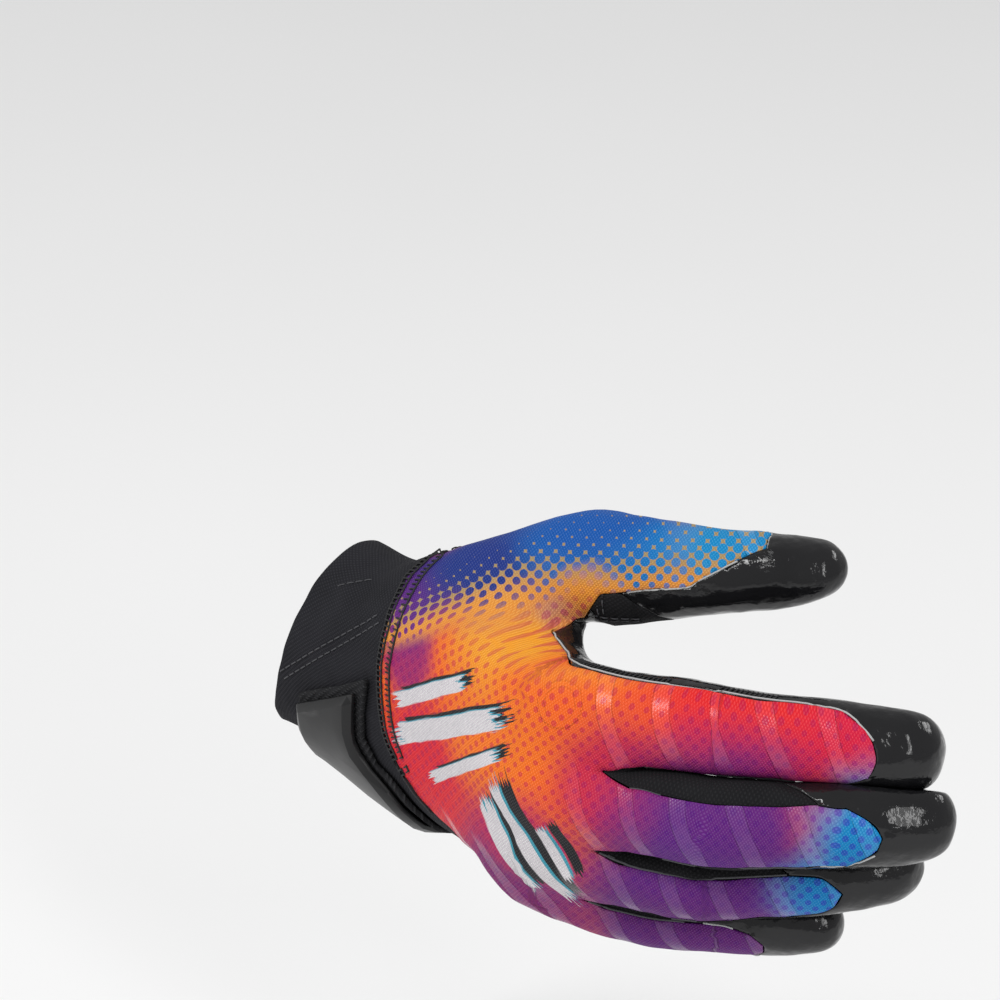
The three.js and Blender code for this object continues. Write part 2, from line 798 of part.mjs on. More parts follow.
// The point of the surface at a turn round the wrist and a distance from its end
function onWrist(turn, distance) {
  const from = wrist.start.clone().addScaledVector(wrist.forward, distance);
  const way = wrist.dorsal.clone().multiplyScalar(cosine(turn));
  way.addScaledVector(wrist.lateral, sine(turn));
  const ray = new THREE.Ray(from, way);
  const hit = vector(0, 0, 0);
  let best = null;
  for (const { ids } of surface.triangles) {
    const corners = ids.map((i) => vector(...surface.points[i]));
    if (corners[0].distanceTo(from) > WRIST_BREADTH || !ray.intersectTriangle(...corners, false, hit)) {
      continue;
    }
    const reach = hit.distanceTo(from);
    if (!best || reach < best.reach) {
      const weights = THREE.Triangle.getBarycoord(hit, ...corners, vector(0, 0, 0));
      const normal = vector(0, 0, 0);
      ids.forEach((id, i) => {
        const n = surface.points[id].slice(NORMAL, NORMAL + 3);
        normal.addScaledVector(vector(...n), weights.getComponent(i));
      });
      best = { reach, point: hit.clone(), normal: normal.normalize() };
    }
  }
  return best;
}

// Value of the columns of a table of rows at a place given by the first column
function tableAt(rows, value) {
  const down = rows[0][0] > rows[rows.length - 1][0];
  const before = rows.findLastIndex(([v]) => (down ? v >= value : v <= value));
  const i = Math.min(Math.max(before, 0), rows.length - 2);
  const t = (value - rows[i][0]) / (rows[i + 1][0] - rows[i][0]);
  return rows[i].map((v, k) => v + (rows[i + 1][k] - v) * t).slice(1);
}

// A closed plate on the wrist. at(u, v) gives turn and distance for shares along
// and across it; lower and upper give how far its two faces lie off the cuff.
function plate(us, vs, at, lower, upper) {
  const rows = us.map((u) => vs.map((v) => ({ u, v, ...onWrist(...at(u, v)) })));
  const cells = rows.flat();
  const layer = (offset) => cells.flatMap((cell) => (
    cell.point.clone().addScaledVector(cell.normal, offset(cell.u, cell.v)).toArray()
  ));
  const coordinates = [...layer(upper), ...layer(lower)];
  const count = cells.length;
  const index = [];
  const width = vs.length;
  for (let i = 0; i + 1 < us.length; i += 1) {
    for (let j = 0; j + 1 < width; j += 1) {
      const [a, b] = [i * width + j, i * width + j + 1];
      const [c, d] = [a + width, b + width];
      index.push(a, d, b, a, c, d);
      index.push(a + count, b + count, d + count, a + count, d + count, c + count);
    }
  }
  const rim = [];
  for (let j = 0; j + 1 < width; j += 1) {
    rim.push([j, j + 1]);
    rim.push([(us.length - 1) * width + j + 1, (us.length - 1) * width + j]);
  }
  for (let i = 0; i + 1 < us.length; i += 1) {
    rim.push([(i + 1) * width, i * width]);
    rim.push([i * width + width - 1, (i + 1) * width + width - 1]);
  }
  for (const [a, b] of rim) {
    index.push(a, b, a + count, b, b + count, a + count);
  }
  const geometry = new THREE.BufferGeometry();
  geometry.setAttribute("position", new THREE.Float32BufferAttribute(coordinates, 3));
  geometry.setIndex(index);
  return geometry;
}

// Tab and strap share one net of lines, so that their faces lie parallel. A share
// along the net of 1 is the tab's fixed end; one across it of 0 to 1 is the tab.
function onNet(u, v) {
  const first = TAB_ROWS[0][0];
  const last = TAB_ROWS[TAB_ROWS.length - 1][0];
  // The free end is slanted: it starts later at the wrist's side
  const late = u < 1 ? (1 - u) * TAB_SLANT * (1 - v) : 0;
  const turn = first + (last - first) * (u + late);
  const [near, far] = tableAt([...TAB_ROWS, ...STRAP_ROWS], Math.min(turn, first));
  return [turn, (TAB_WIDTH * (near + (far - near) * v)) / 100];
}

const steps = (from, to, count) => Array.from({ length: count + 1 }, (_, i) => from + ((to - from) * i) / count);
const tabBevel = TAB_BEVEL / TAB_WIDTH;
const endBevel = 0.05;
const tabUs = [0, endBevel, ...steps(0, 1, TAB_STEPS).slice(1)];
const tabVs = [0, tabBevel, 0.3, 0.5, 0.7, 1 - tabBevel, 1];
const strapTop = LAYER_GAP + STRAP_WALL;
const tabLower = strapTop + LAYER_GAP;

function makeTab() {
  const upper = (u, v) => {
    const edge = Math.min(v, 1 - v) / tabBevel;
    return tabLower + TAB_RIM + (TAB_THICKNESS - TAB_RIM) * Math.min(1, edge, u / endBevel);
  };
  return plate(tabUs, tabVs, onNet, () => tabLower, upper);
}

function makeStrap() {
  const border = STRAP_BORDER / TAB_WIDTH;
  const span = STRAP_ROWS[STRAP_ROWS.length - 1][0] - TAB_ROWS[0][0];
  const end = span / (TAB_ROWS[TAB_ROWS.length - 1][0] - TAB_ROWS[0][0]);
  const us = [-border * 0.6, ...tabUs, ...steps(1, end, Math.round(TAB_STEPS * (end - 1))).slice(1)];
  const vs = [-border / 3, ...tabVs, 1 + border];
  return plate(us, vs, onNet, () => LAYER_GAP, () => strapTop);
}

const half = SEAM_GAP / 2;
const hand = clip(surface, (p) => p[PAST], half);
const notPrinted = clip(hand, (p, face) => -printField(p, face), half);
const inGap = (mesh, gap) => choose(mesh, (triangle) => triangle.gap === gap);
const palmOf = (mesh) => {
  const beside = clip(choose(mesh, ({ gap }) => gap >= 0), palmField, half);
  const outer = choose(mesh, ({ gap }) => gap < 0).triangles;
  return { points: beside.points, triangles: [...outer, ...beside.triangles] };
};
const gusset = (gap) => clip(inGap(notPrinted, gap), (p, face) => -palmField(p, face), half);

const sheets = [
  ["back_panel", clip(hand, printField, half), KNIT_WALL, COLOURS.back_panel],
  ["palm_panel", palmOf(notPrinted), PALM_WALL, COLOURS.palm_panel],
  ["fourchette_index_middle", gusset(0), GUSSET_WALL, COLOURS.gusset],
  ["fourchette_middle_ring", gusset(1), GUSSET_WALL, COLOURS.gusset],
  ["fourchette_ring_little", gusset(2), GUSSET_WALL, COLOURS.gusset],
  ["thumb_patch", gusset(3), PATCH_WALL, COLOURS.thumb_patch],
  ["cuff", clip(surface, (p) => -p[PAST], half), CUFF_WALL, COLOURS.cuff],
];

const glove = new THREE.Group();
glove.name = "glove";

function addMesh(name, geometry, [color, roughness]) {
  const material = new THREE.MeshStandardMaterial({ color, roughness, metalness: 0 });
  const mesh = new THREE.Mesh(geometry, material);
  mesh.name = name;
  glove.add(mesh);
}

sheets.forEach(([name, sheet, wall, colour]) => addMesh(name, thicken(sheet, wall), colour));
addMesh("strap", makeStrap(), COLOURS.strap);
addMesh("strap_tab", makeTab(), COLOURS.strap_tab);

// The origin moves to the middle of the open end
const openEnd = sections[0].map((i) => vector(...cage.points[i]));
const middle = openEnd.reduce((total, p) => total.add(p), vector(0, 0, 0)).divideScalar(openEnd.length);
glove.position.copy(middle).negate();

export default glove;
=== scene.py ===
import math

import bmesh
import bpy
from mathutils import Matrix, Vector, noise
from mathutils.bvhtree import BVHTree


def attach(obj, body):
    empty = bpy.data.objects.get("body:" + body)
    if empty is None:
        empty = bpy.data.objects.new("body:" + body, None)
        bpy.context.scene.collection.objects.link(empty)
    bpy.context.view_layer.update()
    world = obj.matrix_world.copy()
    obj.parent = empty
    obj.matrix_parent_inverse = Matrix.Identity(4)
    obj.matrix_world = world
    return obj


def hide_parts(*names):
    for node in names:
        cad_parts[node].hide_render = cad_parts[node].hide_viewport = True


# A football receiver glove for the right hand, worn and open at the wrist.
# +X runs to the fingertips, +Y to the palm and +Z to the thumb side. Metres.

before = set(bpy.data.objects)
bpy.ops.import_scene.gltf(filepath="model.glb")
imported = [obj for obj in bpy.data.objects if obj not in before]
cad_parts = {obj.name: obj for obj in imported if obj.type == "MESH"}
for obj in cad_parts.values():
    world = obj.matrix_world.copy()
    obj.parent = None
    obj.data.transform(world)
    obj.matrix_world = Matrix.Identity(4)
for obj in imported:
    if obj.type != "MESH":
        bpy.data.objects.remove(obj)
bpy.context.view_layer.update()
MM = 0.001
# Without a seed the folds would take theirs from the clock and differ in each run
noise.seed_set(7)

# Where the back of the glove bends on its way to the fingertips: x, y, turn in degrees
BENDS = [(103, -12, 31), (150, 14, 19), (168, 40, 7)]

# Colours of the print round named places: x, y, z in mm, reach in mm, colour
PRINT_PLACES = [
    ("hand", (118, 5, 30), 0, (0.93, 0.14, 0.01)),
    ("index", (152, 30, 36), 38, (0.82, 0.018, 0.02)),
    ("index end", (170, 48, 26), 20, (0.72, 0.008, 0.05)),
    ("middle root", (130, 2, 8), 20, (0.62, 0.02, 0.06)),
    ("middle", (155, 16, 0), 31, (0.13, 0.012, 0.20)),
    ("ring", (142, 18, -22), 34, (0.11, 0.012, 0.21)),
    ("little", (130, 26, -40), 38, (0.12, 0.01, 0.17)),
    ("middle end", (181, 47, 6), 22, (0.0, 0.27, 0.58)),
    ("ring end", (169, 45, -13), 22, (0.0, 0.23, 0.55)),
    ("outer edge", (92, -4, -34), 30, (0.24, 0.012, 0.15)),
    ("outer knuckle", (104, -6, -12), 17, (0.55, 0.015, 0.10)),
    ("outer heel", (66, -12, -10), 24, (0.78, 0.014, 0.03)),
    ("middle of the back", (93, -10, 14), 22, (0.94, 0.20, 0.01)),
    ("web", (80, 4, 31), 19, (0.92, 0.38, 0.02)),
    ("heel", (54, -10, 16), 12, (0.40, 0.015, 0.13)),
    ("cuff side", (47, -2, 30), 17, (0.13, 0.015, 0.22)),
    ("thumb root", (57, 14, 42), 26, (0.008, 0.035, 0.24)),
    ("thumb", (84, 32, 52), 27, (0.0, 0.20, 0.55)),
    ("thumb end", (104, 56, 50), 24, (0.0, 0.27, 0.58)),
    ("thumb far side", (68, 34, 57), 25, (0.0, 0.10, 0.42)),
    ("crotch", (88, 22, 34), 13, (0.80, 0.32, 0.05)),
]

# Swipes of a dry brush on the back, in the print's flat plane: middle (u, v),
# direction in degrees, half length and half width in mm
SWIPES = [
    (66, 12, 30, 15, 2.0),
    (75, 6, 27, 23, 2.9),
    (83, -2, 33, 17, 1.7),
    (100, -19, 118, 13, 3.1),
    (108, -16, 122, 18, 2.2),
    (116, -15, 116, 8, 1.6),
]
SWIPE_SHIFT = (3.6, 3.2)


# Building shader graphs

class Graph:
    """A material with a Principled shader and short ways to add nodes."""

    def __init__(self, name, **values):
        self.material = bpy.data.materials.new(name)
        self.material.use_nodes = True
        self.nodes = self.material.node_tree.nodes
        self.links = self.material.node_tree.links
        self.nodes.clear()
        self.shader = self.nodes.new("ShaderNodeBsdfPrincipled")
        output = self.nodes.new("ShaderNodeOutputMaterial")
        self.links.new(self.shader.outputs["BSDF"], output.inputs["Surface"])
        for key, value in values.items():
            self.shader.inputs[key].default_value = value

    def put(self, socket, value):
        if isinstance(value, bpy.types.NodeSocket):
            self.links.new(value, socket)
        elif isinstance(value, (tuple, list)) and socket.type == "RGBA":
            socket.default_value = (*value[:3], 1.0)
        else:
            socket.default_value = value

    def set(self, name, value):
        self.put(self.shader.inputs[name], value)

    def math(self, operation, *values, clamp=False):
        node = self.nodes.new("ShaderNodeMath")
        node.operation = operation
        node.use_clamp = clamp
        for socket, value in zip(node.inputs, values):
            self.put(socket, value)
        return node.outputs[0]

    def vector(self, operation, *values):
        node = self.nodes.new("ShaderNodeVectorMath")
        node.operation = operation
        for socket, value in zip(node.inputs, values):
            self.put(socket, value)
        return node.outputs["Value" if operation in ("DISTANCE", "LENGTH", "DOT_PRODUCT") else "Vector"]

    def mix(self, factor, a, b):
        node = self.nodes.new("ShaderNodeMix")
        node.data_type = "RGBA"
        self.put(node.inputs[0], factor)
        self.put(node.inputs[6], a)
        self.put(node.inputs[7], b)
        return node.outputs[2]

    def smooth(self, value, low, high, out_low=0.0, out_high=1.0):
        node = self.nodes.new("ShaderNodeMapRange")
        node.interpolation_type = "SMOOTHSTEP"
        self.put(node.inputs[0], value)
        for socket, number in zip(node.inputs[1:5], (low, high, out_low, out_high)):
            socket.default_value = number
        return node.outputs[0]

    def noise(self, vector, scale, detail=2.0):
        node = self.nodes.new("ShaderNodeTexNoise")
        self.put(node.inputs["Vector"], vector)
        node.inputs["Scale"].default_value = scale
        node.inputs["Detail"].default_value = detail
        return node.outputs[0]

    def place(self):
        return self.nodes.new("ShaderNodeTexCoord").outputs["Object"]

    def flat(self):
        """Coordinates in mm on the unrolled cloth: u, v."""
        node = self.nodes.new("ShaderNodeUVMap")
        node.uv_map = "flat"
        parts = self.nodes.new("ShaderNodeSeparateXYZ")
        self.links.new(node.outputs[0], parts.inputs[0])
        return parts.outputs[0], parts.outputs[1]

    def bump(self, height, distance, strength=1.0, normal=None):
        node = self.nodes.new("ShaderNodeBump")
        node.inputs["Distance"].default_value = distance
        node.inputs["Strength"].default_value = strength
        self.put(node.inputs["Height"], height)
        if normal is not None:
            self.put(node.inputs["Normal"], normal)
        return node.outputs[0]

    def wave(self, value, pitch):
        """A wave from 0 to 1 along a value in mm."""
        turn = self.math("MULTIPLY", value, 2 * math.pi / pitch)
        return self.math("MULTIPLY_ADD", self.math("SINE", turn), 0.5, 0.5)

    def weave(self, u, v, pitch):
        """Heights of a fine twill: ribs across, broken by a slanted wave."""
        slant = self.math("MULTIPLY_ADD", v, 0.6, u)
        back_slant = self.math("SUBTRACT", v, u)
        return self.math("MULTIPLY", self.wave(slant, pitch), self.wave(back_slant, pitch * 1.3))


def halftone(graph, u, v, pitch, size):
    """1 inside the round dots of a grid with every other row shifted."""
    slanted_u = graph.math("ADD", u, v)
    slanted_v = graph.math("SUBTRACT", v, u)
    cells = []
    for value in (slanted_u, slanted_v):
        share = graph.math("FRACT", graph.math("DIVIDE", value, pitch * math.sqrt(2)))
        cells.append(graph.math("SUBTRACT", share, 0.5))
    square = [graph.math("MULTIPLY", cell, cell) for cell in cells]
    distance = graph.math("SQRT", graph.math("ADD", *square))
    return graph.smooth(graph.math("SUBTRACT", size, distance), -0.035, 0.035)


def swipe(graph, u, v, row, shift=(0.0, 0.0)):
    """Mask of one brush swipe: straight edges along it, ragged ends."""
    middle_u, middle_v, direction, half_length, half_width = row
    c, s = math.cos(math.radians(direction)), math.sin(math.radians(direction))
    du = graph.math("SUBTRACT", u, middle_u + shift[0])
    dv = graph.math("SUBTRACT", v, middle_v + shift[1])
    along = graph.math("MULTIPLY_ADD", dv, s, graph.math("MULTIPLY", du, c))
    across = graph.math("MULTIPLY_ADD", dv, c, graph.math("MULTIPLY", du, -s))
    joined = graph.nodes.new("ShaderNodeCombineXYZ")
    graph.put(joined.inputs[0], graph.math("MULTIPLY", along, 0.10))
    graph.put(joined.inputs[1], graph.math("MULTIPLY", across, 1.7))
    bristles = graph.noise(joined.outputs[0], 1.0, 3.0)
    rough_length = graph.math("MULTIPLY_ADD", bristles, half_length * 1.1, half_length * 0.45)
    rough_width = graph.math("MULTIPLY_ADD", bristles, half_width * 0.5, half_width * 0.75)
    inside = graph.math("SUBTRACT", rough_length, graph.math("ABSOLUTE", along))
    beside = graph.math("SUBTRACT", rough_width, graph.math("ABSOLUTE", across))
    return graph.smooth(graph.math("MINIMUM", inside, beside), -0.12, 0.25)


def print_material():
    """The back's print: fields of colour, halftone dots, brush swipes and clear grip strips."""
    g = Graph("printed_knit")
    place = g.place()
    wobble = g.noise(place, 60.0)
    colour = PRINT_PLACES[0][3]
    for _, middle, reach, shade in PRINT_PLACES[1:]:
        distance = g.vector("DISTANCE", place, tuple(value * MM for value in middle))
        uneven = g.math("MULTIPLY_ADD", wobble, 0.010, distance)
        share = g.smooth(uneven, (reach * 0.45 + 5) * MM, (reach * 1.2 + 5) * MM, 1.0, 0.0)
        colour = g.mix(share, colour, shade)
    u, v = g.flat()
    # Halftone dots: a deeper shade of the place on the hand, blue on a tan ground on the thumb
    fade = g.noise(place, 45.0)
    size = g.math("MULTIPLY_ADD", fade, 0.34, 0.13)
    dots = halftone(g, u, v, 2.7, size)
    deeper = g.vector("MULTIPLY", colour, (0.72, 0.30, 0.80))
    deeper = g.vector("ADD", deeper, (0.012, 0.0, 0.035))
    split = g.nodes.new("ShaderNodeSeparateXYZ")
    g.put(split.inputs[0], place)
    towards_cuff = g.math("MAXIMUM", g.math("SUBTRACT", 0.067, split.outputs[0]), 0.0)
    thumb_height = g.math("MULTIPLY_ADD", split.outputs[1], -0.25, split.outputs[2])
    thumb_height = g.math("MULTIPLY_ADD", towards_cuff, 0.55, thumb_height)
    on_thumb = g.smooth(thumb_height, 0.028, 0.034)
    blue_dots = halftone(g, u, v, 2.7, g.smooth(thumb_height, 0.028, 0.052, 0.22, 0.80))
    tan = g.mix(g.smooth(thumb_height, 0.032, 0.040), (0.88, 0.34, 0.03), (0.40, 0.30, 0.13))
    on_hand = g.mix(g.math("MULTIPLY", dots, 0.8), colour, deeper)
    blue = g.mix(g.smooth(thumb_height, 0.028, 0.034), tan, colour)
    thumb_colour = g.mix(blue_dots, g.mix(g.smooth(thumb_height, 0.045, 0.058), tan, colour), blue)
    colour = g.mix(on_thumb, on_hand, thumb_colour)
    # White swipes over a charcoal copy with a thin cyan edge
    white, dark, edge = None, None, None
    for row in SWIPES:
        masks = [swipe(g, u, v, row), swipe(g, u, v, row, SWIPE_SHIFT)]
        masks.append(swipe(g, u, v, row, (SWIPE_SHIFT[0] * 0.22, SWIPE_SHIFT[1] * 0.22)))
        if white is None:
            white, dark, edge = masks
        else:
            white, dark, edge = (g.math("MAXIMUM", a, b) for a, b in zip((white, dark, edge), masks))
    colour = g.mix(dark, colour, (0.012, 0.013, 0.016))
    colour = g.mix(edge, colour, (0.05, 0.36, 0.45))
    grain = g.noise(place, 900.0)
    colour = g.mix(white, colour, g.mix(grain, (0.60, 0.61, 0.61), (0.82, 0.82, 0.80)))
    knit = g.weave(u, v, 0.75)
    # Painted light on the knit: a painted highlight pales its raised ribs, the same heights that give its bump
    colour = g.mix(g.math("MULTIPLY", knit, 0.05), colour, (0.9, 0.86, 0.84))
    # Painted shade: the colour is darkened in the knit's hollows
    hollow_shade = g.vector("MULTIPLY", colour, (0.80, 0.72, 0.80))
    colour = g.mix(g.smooth(knit, 0.0, 0.35), hollow_shade, colour)
    # Clear slanted grip strips over the knit
    strip_at = g.math("MULTIPLY_ADD", v, 0.45, u)
    strip = g.math("FRACT", g.math("DIVIDE", strip_at, 15.0))
    on_strip = g.math("MULTIPLY", g.smooth(strip, 0.10, 0.13), g.smooth(strip, 0.40, 0.43, 1.0, 0.0))
    outside = g.math("MAXIMUM", g.smooth(u, 118, 124), g.smooth(v, -22, -18, 1.0, 0.0))
    on_strip = g.math("MULTIPLY", on_strip, outside)
    g.set("Base Color", g.mix(g.math("MULTIPLY", on_strip, 0.018), colour, (0.55, 0.52, 0.55)))
    g.set("Roughness", g.math("MULTIPLY_ADD", on_strip, -0.30, 0.56))
    g.set("Specular IOR Level", g.math("MULTIPLY_ADD", on_strip, 0.16, 0.16))
    bare = g.math("MULTIPLY_ADD", on_strip, -0.75, 1.0)
    height = g.math("MULTIPLY_ADD", on_strip, 2.4, g.math("MULTIPLY", knit, bare))
    folds = g.noise(place, 130.0, 3.0)
    normal = g.bump(folds, 0.0012, 0.3)
    # A raised ring over the index knuckle
    from_ring = g.math("SUBTRACT", g.vector("DISTANCE", place, (0.1115, -0.0028, 0.0255)), 0.0052)
    ring = g.smooth(g.math("ABSOLUTE", from_ring), 0.0005, 0.0013, 1.0, 0.0)
    normal = g.bump(ring, 0.0006, 0.6, normal)
    g.set("Normal", g.bump(height, 0.00018, 0.9, normal))
    return g.material


def grip_material():
    """Glossy silicone on the palm side, with the ragged creases of a stretched coat."""
    g = Graph("silicone_grip")
    g.set("Specular IOR Level", 0.3)
    g.set("Coat Weight", 0.2)
    g.set("Coat Roughness", 0.05)
    place = g.place()
    u, v = g.flat()
    cloud = g.noise(place, 55.0, 4.0)
    g.set("Base Color", g.mix(cloud, (0.004, 0.004, 0.005), (0.011, 0.011, 0.012)))
    g.set("Roughness", g.math("MULTIPLY_ADD", cloud, 0.12, 0.04))
    ripples = g.noise(place, 330.0, 3.0)
    lumps = g.noise(place, 95.0, 2.0)
    normal = g.bump(lumps, 0.0022, 0.6)
    normal = g.bump(ripples, 0.0005, 0.6, normal)
    g.set("Normal", g.bump(g.weave(u, v, 0.9), 0.00001, 0.6, normal))
    return g.material


def knit_material(name, low, high, pitch, depth):
    """A matt weave with a pitch in mm and a depth in metres."""
    g = Graph(name)
    g.set("Specular IOR Level", 0.15)
    place = g.place()
    u, v = g.flat()
    weave = g.weave(u, v, pitch)
    cloud = g.noise(place, 90.0, 3.0)
    # The base colour is partly painted shade, darker in the weave's hollows and lighter on its ridges, and
    # partly a random cloud of tone
    shade = g.math("MULTIPLY_ADD", weave, 0.6, g.math("MULTIPLY", cloud, 0.5))
    g.set("Base Color", g.mix(g.math("MULTIPLY", shade, 1.0, clamp=True), low, high))
    g.set("Roughness", g.math("MULTIPLY_ADD", cloud, 0.12, 0.82))
    normal = g.bump(g.noise(place, 120.0, 3.0), 0.0010, 0.35)
    g.set("Normal", g.bump(weave, depth, 0.9, normal))
    return g.material


def plastic_material(name, colour, roughness):
    """Moulded plastic, a little worn."""
    g = Graph(name)
    g.set("Specular IOR Level", 0.35)
    place = g.place()
    cloud = g.noise(place, 300.0, 4.0)
    wear = g.noise(place, 60.0, 3.0)
    lighter = tuple(value * 1.9 + 0.002 for value in colour)
    g.set("Base Color", g.mix(g.math("MULTIPLY", wear, 0.6), colour, lighter))
    g.set("Roughness", g.math("MULTIPLY_ADD", wear, 0.16, roughness - 0.08))
    g.set("Normal", g.bump(cloud, 0.00006, 0.5))
    return g.material


def thread_material(name, colour):
    """Twisted thread, or the pale core of a cut edge."""
    g = Graph(name, Roughness=0.7)
    place = g.place()
    twist = g.noise(place, 2500.0, 1.0)
    # Painted shade: the colour darkens where the twist sinks, the same heights that give the thread its bump
    g.set("Base Color", g.mix(twist, tuple(value * 0.6 for value in colour), colour))
    g.set("Normal", g.bump(twist, 0.00008, 0.6))
    return g.material


MATERIALS = {
    "print": print_material(),
    "grip": grip_material(),
    "side": knit_material("side_knit", (0.004, 0.004, 0.005), (0.022, 0.022, 0.024), 1.0, 0.00022),
    "patch": knit_material("patch_cloth", (0.006, 0.006, 0.007), (0.026, 0.026, 0.028), 0.8, 0.00012),
    "cuff": knit_material("cuff_knit", (0.006, 0.006, 0.008), (0.034, 0.034, 0.040), 0.9, 0.00018),
    "strap": knit_material("loop_weave", (0.004, 0.004, 0.005), (0.045, 0.045, 0.048), 1.7, 0.0005),
    "tab": plastic_material("moulded_tab", (0.005, 0.005, 0.0055), 0.40),
    "black thread": thread_material("black_thread", (0.014, 0.014, 0.016)),
    "grey thread": thread_material("grey_thread", (0.07, 0.07, 0.078)),
    "cut edge": thread_material("cut_edge", (0.52, 0.53, 0.53)),
}


# The cloth pieces: each solid's cage is joined to quads again and smoothed

def unroll(x, y):
    """Length along the back of the hand and height off it, both in mm."""
    u, w, heading, at = x, y, 0.0, (0.0, 0.0)
    base_u, base_w = 0.0, 0.0
    for bend_x, bend_y, turn in BENDS:
        half = heading + math.radians(turn) / 2
        if (x - bend_x) * math.cos(half) + (y - bend_y) * math.sin(half) <= 0:
            break
        c, s = math.cos(heading), math.sin(heading)
        dx, dy = bend_x - at[0], bend_y - at[1]
        base_u, base_w = base_u + dx * c + dy * s, base_w - dx * s + dy * c
        at = (bend_x, bend_y)
        heading += math.radians(turn)
        c, s = math.cos(heading), math.sin(heading)
        dx, dy = x - at[0], y - at[1]
        u, w = base_u + dx * c + dy * s, base_w - dx * s + dy * c
    return u, w


def step(value, low, high):
    share = min(1.0, max(0.0, (value - low) / (high - low)))
    return share * share * (3 - 2 * share)


def lay_flat(mesh, wrap):
    """Gives the mesh its flat coordinates in mm. The print runs on without a break;
    the plain weaves are laid on each face's own side."""
    layer = mesh.uv_layers.new(name="flat")
    for face in mesh.polygons:
        sideways = wrap == "plain" and abs(face.normal.z) > 0.7
        turn = math.atan2(face.center.z / MM + 2, 3 - face.center.y / MM)
        for loop in face.loop_indices:
            x, y, z = (value / MM for value in mesh.vertices[mesh.loops[loop].vertex_index].co)
            if wrap == "wrist":
                past = math.atan2(z + 2, 3 - y) - turn
                past -= 2 * math.pi * round(past / (2 * math.pi))
                layer.data[loop].uv = ((turn + past) * 26, x * 0.94 + z * 0.25)
                continue
            u, w = unroll(x, y)
            v = w if sideways else z
            if wrap == "print":
                # The thumb leaves the hand's line, so its print follows its own
                thumb = step(z + 0.6 * y - 0.25 * x, 9, 31) * (1 - step(x - 0.6 * y, 80, 96))
                u += (0.6 * x + 0.8 * y + 22 - u) * thumb
                v += (0.9 * z - 0.34 * x + 0.22 * y + 26 - v) * thumb
            layer.data[loop].uv = (u, v)


# The plane between the first two fingers: its direction and its distance in metres
BETWEEN = Vector((-0.3425, 0.2764, 0.8976)).normalized()
BETWEEN_DISTANCE = 0.03055


def crumple(mesh):
    """Small folds of worn cloth, one field for all pieces so that the seams stay shut."""
    for vertex in mesh.vertices:
        p = vertex.co
        wide = noise.noise_vector(p * 75) * 0.45
        small = noise.noise_vector(p * 190 + Vector((3, 1, 2))) * 0.22
        # The first two fingers lean together along the slanting plane between them
        above = (BETWEEN.dot(p) + BETWEEN_DISTANCE) / MM
        lean = math.tanh(above) * math.exp(-(above / 14) ** 2) * step(p.x, 0.124, 0.138)
        vertex.co = p + (wide + small - BETWEEN * lean * 0.95) * MM
    mesh.update()


def new_piece(name, mesh, material, replaces=()):
    mesh.materials.clear()
    mesh.materials.append(MATERIALS[material])
    mesh.polygons.foreach_set("use_smooth", [True] * len(mesh.polygons))
    piece = bpy.data.objects.new(name, mesh)
    bpy.context.scene.collection.objects.link(piece)
    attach(piece, "root")
    if replaces:
        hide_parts(*replaces)
    return piece


def refined(node, levels=2, sharp=48, largest=12, flat=35):
    """The node's shell with its quads joined again, creased rims and a smooth surface."""
    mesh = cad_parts[node].data.copy()
    work = bmesh.new()
    work.from_mesh(mesh)
    bmesh.ops.remove_doubles(work, verts=work.verts, dist=2e-6)
    bmesh.ops.join_triangles(
        work, faces=work.faces,
        angle_face_threshold=math.radians(flat), angle_shape_threshold=math.radians(55),
    )
    crease = work.edges.layers.float.new("crease_edge")
    lines = []
    for edge in work.edges:
        if len(edge.link_faces) == 2 and edge.calc_face_angle(0) > math.radians(sharp):
            if min(face.calc_area() for face in edge.link_faces) < largest * 1e-6:
                edge[crease] = 1.0
                lines.append((edge.verts[0].co.copy(), edge.verts[1].co.copy()))
    work.to_mesh(mesh)
    work.free()
    source = bpy.data.objects.new(node + "_cage", mesh)
    bpy.context.scene.collection.objects.link(source)
    modifier = source.modifiers.new("smooth", "SUBSURF" if levels else "BEVEL")
    if levels:
        modifier.levels = modifier.render_levels = levels
    else:
        modifier.width, modifier.segments, modifier.angle_limit = 0.0003, 2, math.radians(sharp)
    # The cage is pushed out until the smooth surface meets its corners, or the cloth would shrink
    corners = [vertex.co.copy() for vertex in mesh.vertices]
    for last in (False, False, True) if levels else (True,):
        source.update_tag()
        bpy.context.view_layer.update()
        seen = source.evaluated_get(bpy.context.evaluated_depsgraph_get())
        result = bpy.data.meshes.new_from_object(seen)
        if last:
            break
        for i, corner in enumerate(corners):
            miss = corner - result.vertices[i].co
            if miss.length > 0.0012:
                miss = miss * (0.0012 / miss.length)
            mesh.vertices[i].co += miss * 0.8
        mesh.update()
        bpy.data.meshes.remove(result)
    bpy.data.objects.remove(source)
    result.name = node + "_cloth"
    for name in [layer.name for layer in result.uv_layers]:
        result.uv_layers.remove(result.uv_layers[name])
    return result, lines


# The CAD's node, the new piece, its material, its slot and how its cloth is laid flat
CLOTH = [
    ("back_panel", "printed_back", "print", "print_knit", "print"),
    ("palm_panel", "grip_palm", "grip", "grip", "plain"),
    ("fourchette_index_middle", "side_strip_index_middle", "side", "side_knit", "plain"),
    ("fourchette_middle_ring", "side_strip_middle_ring", "side", "side_knit", "plain"),
    ("fourchette_ring_little", "side_strip_ring_little", "side", "side_knit", "plain"),
    ("thumb_patch", "crotch_patch", "patch", "patch", "plain"),
    ("cuff", "knit_cuff", "cuff", "cuff_knit", "wrist"),
    ("strap", "woven_strap", "strap", "loop_strap", "wrist"),
    ("strap_tab", "strap_tab_moulding", "tab", "tab", "wrist"),
]
